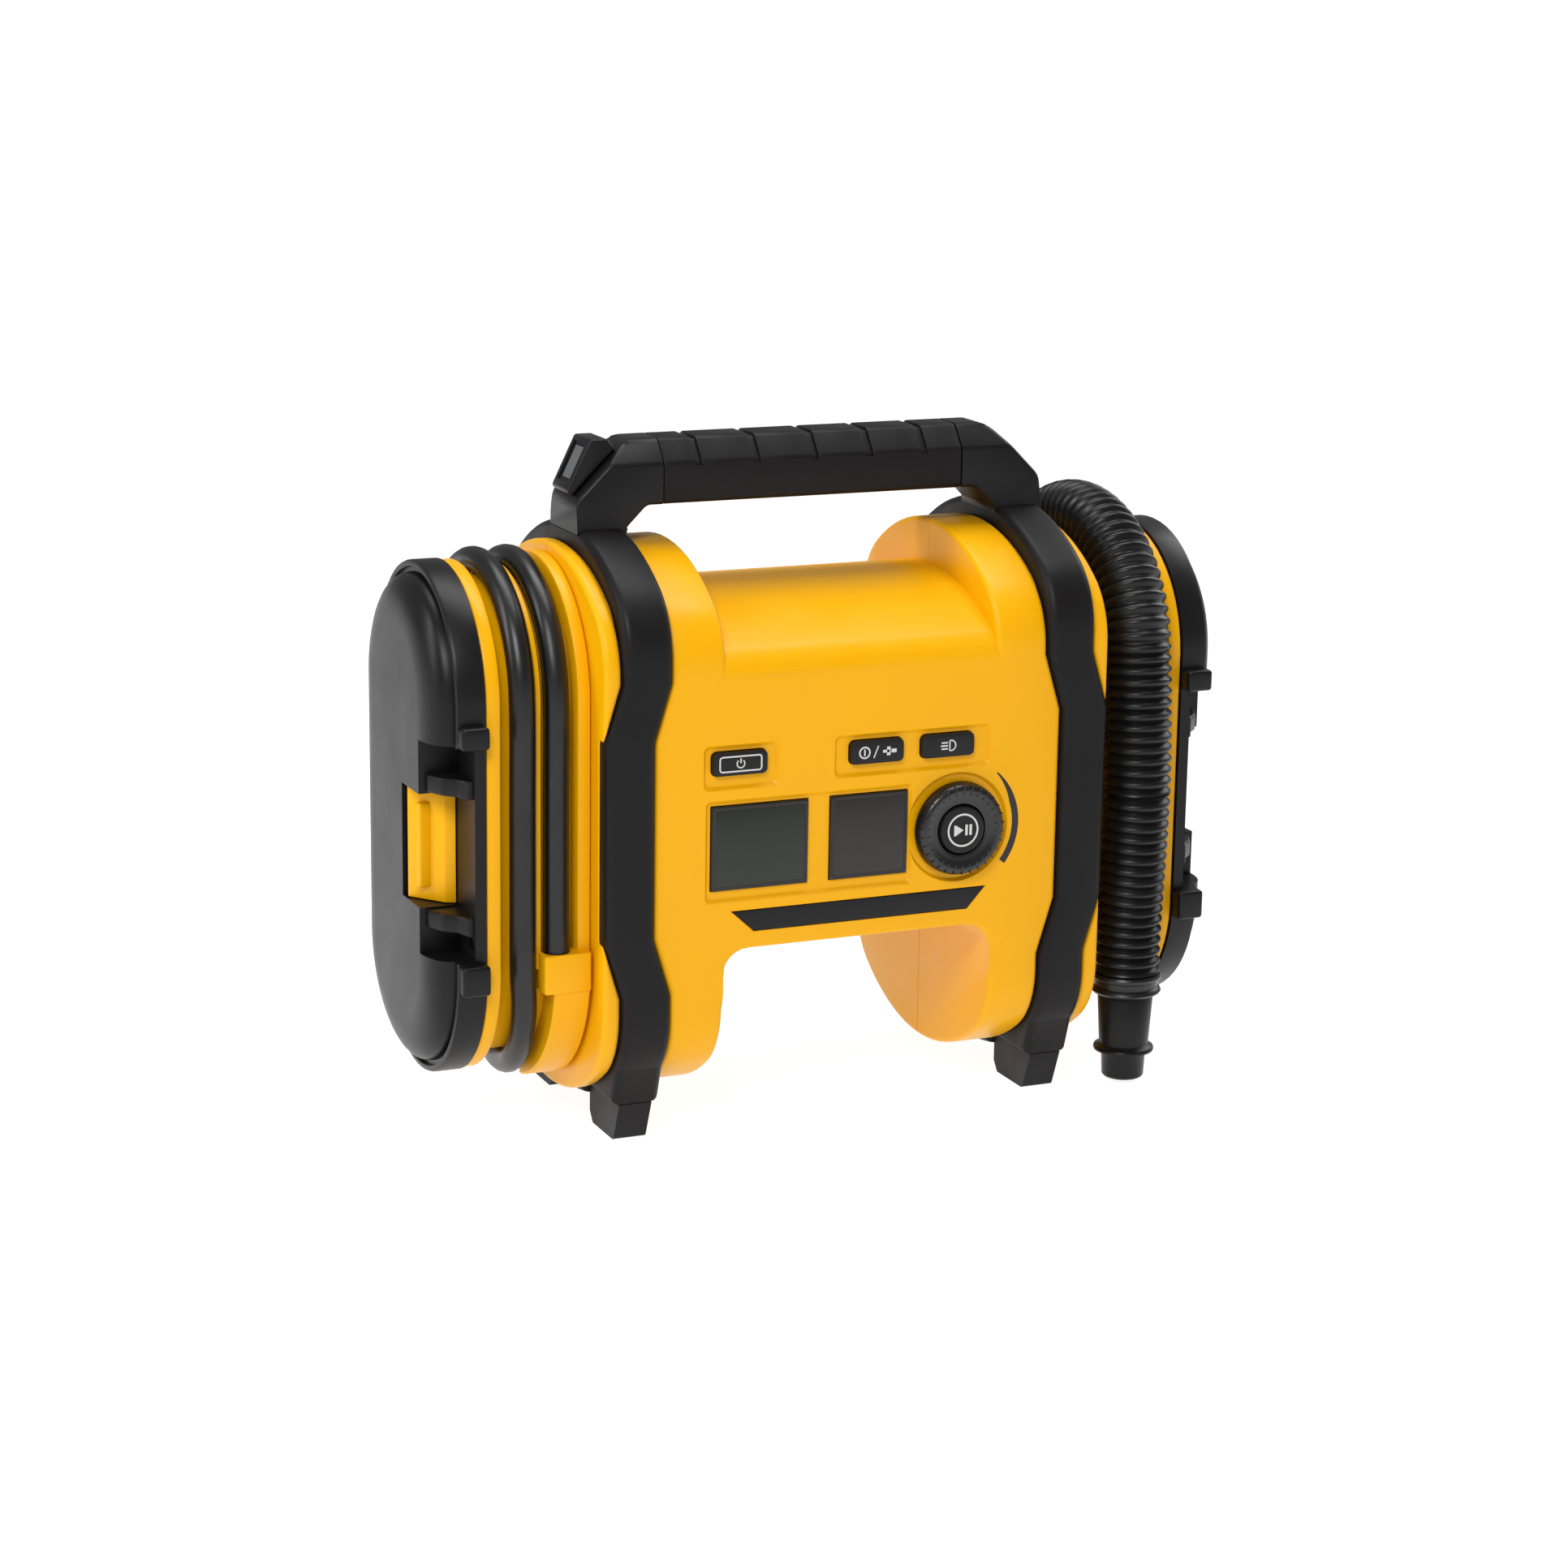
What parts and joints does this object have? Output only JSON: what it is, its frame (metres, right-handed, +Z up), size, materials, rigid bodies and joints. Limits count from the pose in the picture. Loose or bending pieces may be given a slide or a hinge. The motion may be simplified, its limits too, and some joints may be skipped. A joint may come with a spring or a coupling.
{
  "type": "portable air inflator",
  "caption": "Battery-powered portable inflator with two roll frames, carrying handle, hose spools with hinged storage doors, control panel with dial, and an open battery bay.",
  "frame": {"origin": "centre of the object at the floor, on the bottom of the feet", "axes": "+X to the right seen from the control panel, +Y to the back, +Z up; the long side runs along X"},
  "size_m": [0.3138, 0.1274, 0.2509],
  "materials": {
    "yellow_abs": "satin moulded ABS",
    "black_abs": "satin moulded ABS",
    "soft_rubber": "matt overmoulded elastomer",
    "hose_rubber": "satin hose rubber",
    "button_rubber": "matt silicone rubber",
    "window_plastic": "smoked clear plastic",
    "display_glass": "display face",
    "clear_lens": "clear moulded lens",
    "circuit_board": "solder mask",
    "steel": "plated steel",
    "aluminium": "die cast",
    "brass": "turned brass",
    "nylon": "natural nylon"
  },
  "bodies": {
    "main_body": {"front_housing": "yellow_abs", "rear_housing": "yellow_abs", "left_spool": "yellow_abs", "right_spool": "yellow_abs", "stripe_label": "black_abs", "handle_bar": "black_abs", "lamp_housing": "black_abs", "battery_terminal_block": "black_abs", "pressure_sensor": "black_abs", "blower_housing": "black_abs", "blower_cover": "black_abs", "volume_port": "black_abs", "volume_nozzle": "black_abs", "left_roll_frame": "soft_rubber", "right_roll_frame": "soft_rubber", "left_front_foot": "soft_rubber", "left_rear_foot": "soft_rubber", "right_front_foot": "soft_rubber", "right_rear_foot": "soft_rubber", "handle_grip": "soft_rubber", "air_hose": "hose_rubber", "volume_hose": "hose_rubber", "volume_hose_cuff": "hose_rubber", "left_window": "window_plastic", "right_window": "window_plastic", "left_display": "display_glass", "right_display": "display_glass", "lamp_lens": "clear_lens", "control_board": "circuit_board", "led_board": "circuit_board", "housing_screw_1": "steel", "housing_screw_2": "steel", "housing_screw_3": "steel", "housing_screw_4": "steel", "left_hinge_pin": "steel", "right_hinge_pin": "steel", "pump_motor": "steel", "blower_motor": "steel", "crankcase": "aluminium", "cylinder": "aluminium", "cylinder_head": "aluminium", "air_manifold": "brass", "valve_chuck": "brass", "battery_contacts": "brass", "air_line": "nylon"},
    "left_door_body": {"left_door": "black_abs"},
    "right_door_body": {"right_door": "black_abs"},
    "left_latch_body": {"left_latch": "yellow_abs"},
    "right_latch_body": {"right_latch": "yellow_abs"},
    "power_button_body": {"power_button": "button_rubber"},
    "mode_button_body": {"mode_button": "button_rubber"},
    "light_button_body": {"light_button": "button_rubber"},
    "dial_body": {"dial": "black_abs"},
    "start_button_body": {"start_button": "button_rubber"},
    "crank_body": {"crank_gear": "steel"},
    "pinion_body": {"motor_pinion": "steel"},
    "piston_body": {"piston_rod": "aluminium"},
    "impeller_body": {"blower_impeller": "nylon"},
    "chuck_lever_body": {"chuck_lever": "black_abs"}
  },
  "joints": [
    {"name": "left_door_hinge", "type": "hinge", "parent": "main_body", "child": "left_door_body", "pos_m": [-0.1415, 0.0508, 0.115], "axis": [0, 0, -1], "range_deg": [0, 100]},
    {"name": "right_door_hinge", "type": "hinge", "parent": "main_body", "child": "right_door_body", "pos_m": [0.1415, 0.0508, 0.115], "axis": [0, 0, 1], "range_deg": [0, 100]},
    {"name": "left_latch_slide", "type": "slide", "parent": "left_door_body", "child": "left_latch_body", "axis": [0, 1, 0], "range_m": [0, 0.003], "stiffness_N_per_m": 400},
    {"name": "right_latch_slide", "type": "slide", "parent": "right_door_body", "child": "right_latch_body", "axis": [0, 1, 0], "range_m": [0, 0.003], "stiffness_N_per_m": 400},
    {"name": "power_button_press", "type": "slide", "parent": "main_body", "child": "power_button_body", "axis": [0, 1, 0], "range_m": [0, 0.001], "stiffness_N_per_m": 600},
    {"name": "mode_button_press", "type": "slide", "parent": "main_body", "child": "mode_button_body", "axis": [0, 1, 0], "range_m": [0, 0.001], "stiffness_N_per_m": 600},
    {"name": "light_button_press", "type": "slide", "parent": "main_body", "child": "light_button_body", "axis": [0, 1, 0], "range_m": [0, 0.001], "stiffness_N_per_m": 600},
    {"name": "start_button_press", "type": "slide", "parent": "main_body", "child": "start_button_body", "axis": [0, 1, 0], "range_m": [0, 0.001], "stiffness_N_per_m": 600},
    {"name": "dial_turn", "type": "hinge", "parent": "main_body", "child": "dial_body", "pos_m": [0.0385, -0.0598, 0.1099], "axis": [0, -1, 0], "continuous": true},
    {"name": "crank_spin", "type": "hinge", "parent": "main_body", "child": "crank_body", "pos_m": [0, 0.025, 0.108], "axis": [1, 0, 0], "continuous": true},
    {"name": "pinion_spin", "type": "hinge", "parent": "main_body", "child": "pinion_body", "pos_m": [0, -0.00296, 0.11549], "axis": [1, 0, 0], "continuous": true},
    {"name": "piston_stroke", "type": "slide", "parent": "main_body", "child": "piston_body", "axis": [0, 0, 1], "range_m": [-0.012, 0]},
    {"name": "impeller_spin", "type": "hinge", "parent": "main_body", "child": "impeller_body", "pos_m": [0, 0, 0.112], "axis": [1, 0, 0], "continuous": true},
    {"name": "chuck_lever_swing", "type": "hinge", "parent": "main_body", "child": "chuck_lever_body", "pos_m": [-0.126, 0.056, 0.102], "axis": [1, 0, 0], "range_deg": [0, 85]}
  ],
  "couplings": [
    {"joint": "pinion_spin", "follows": "crank_spin", "ratio": -3}
  ]
}
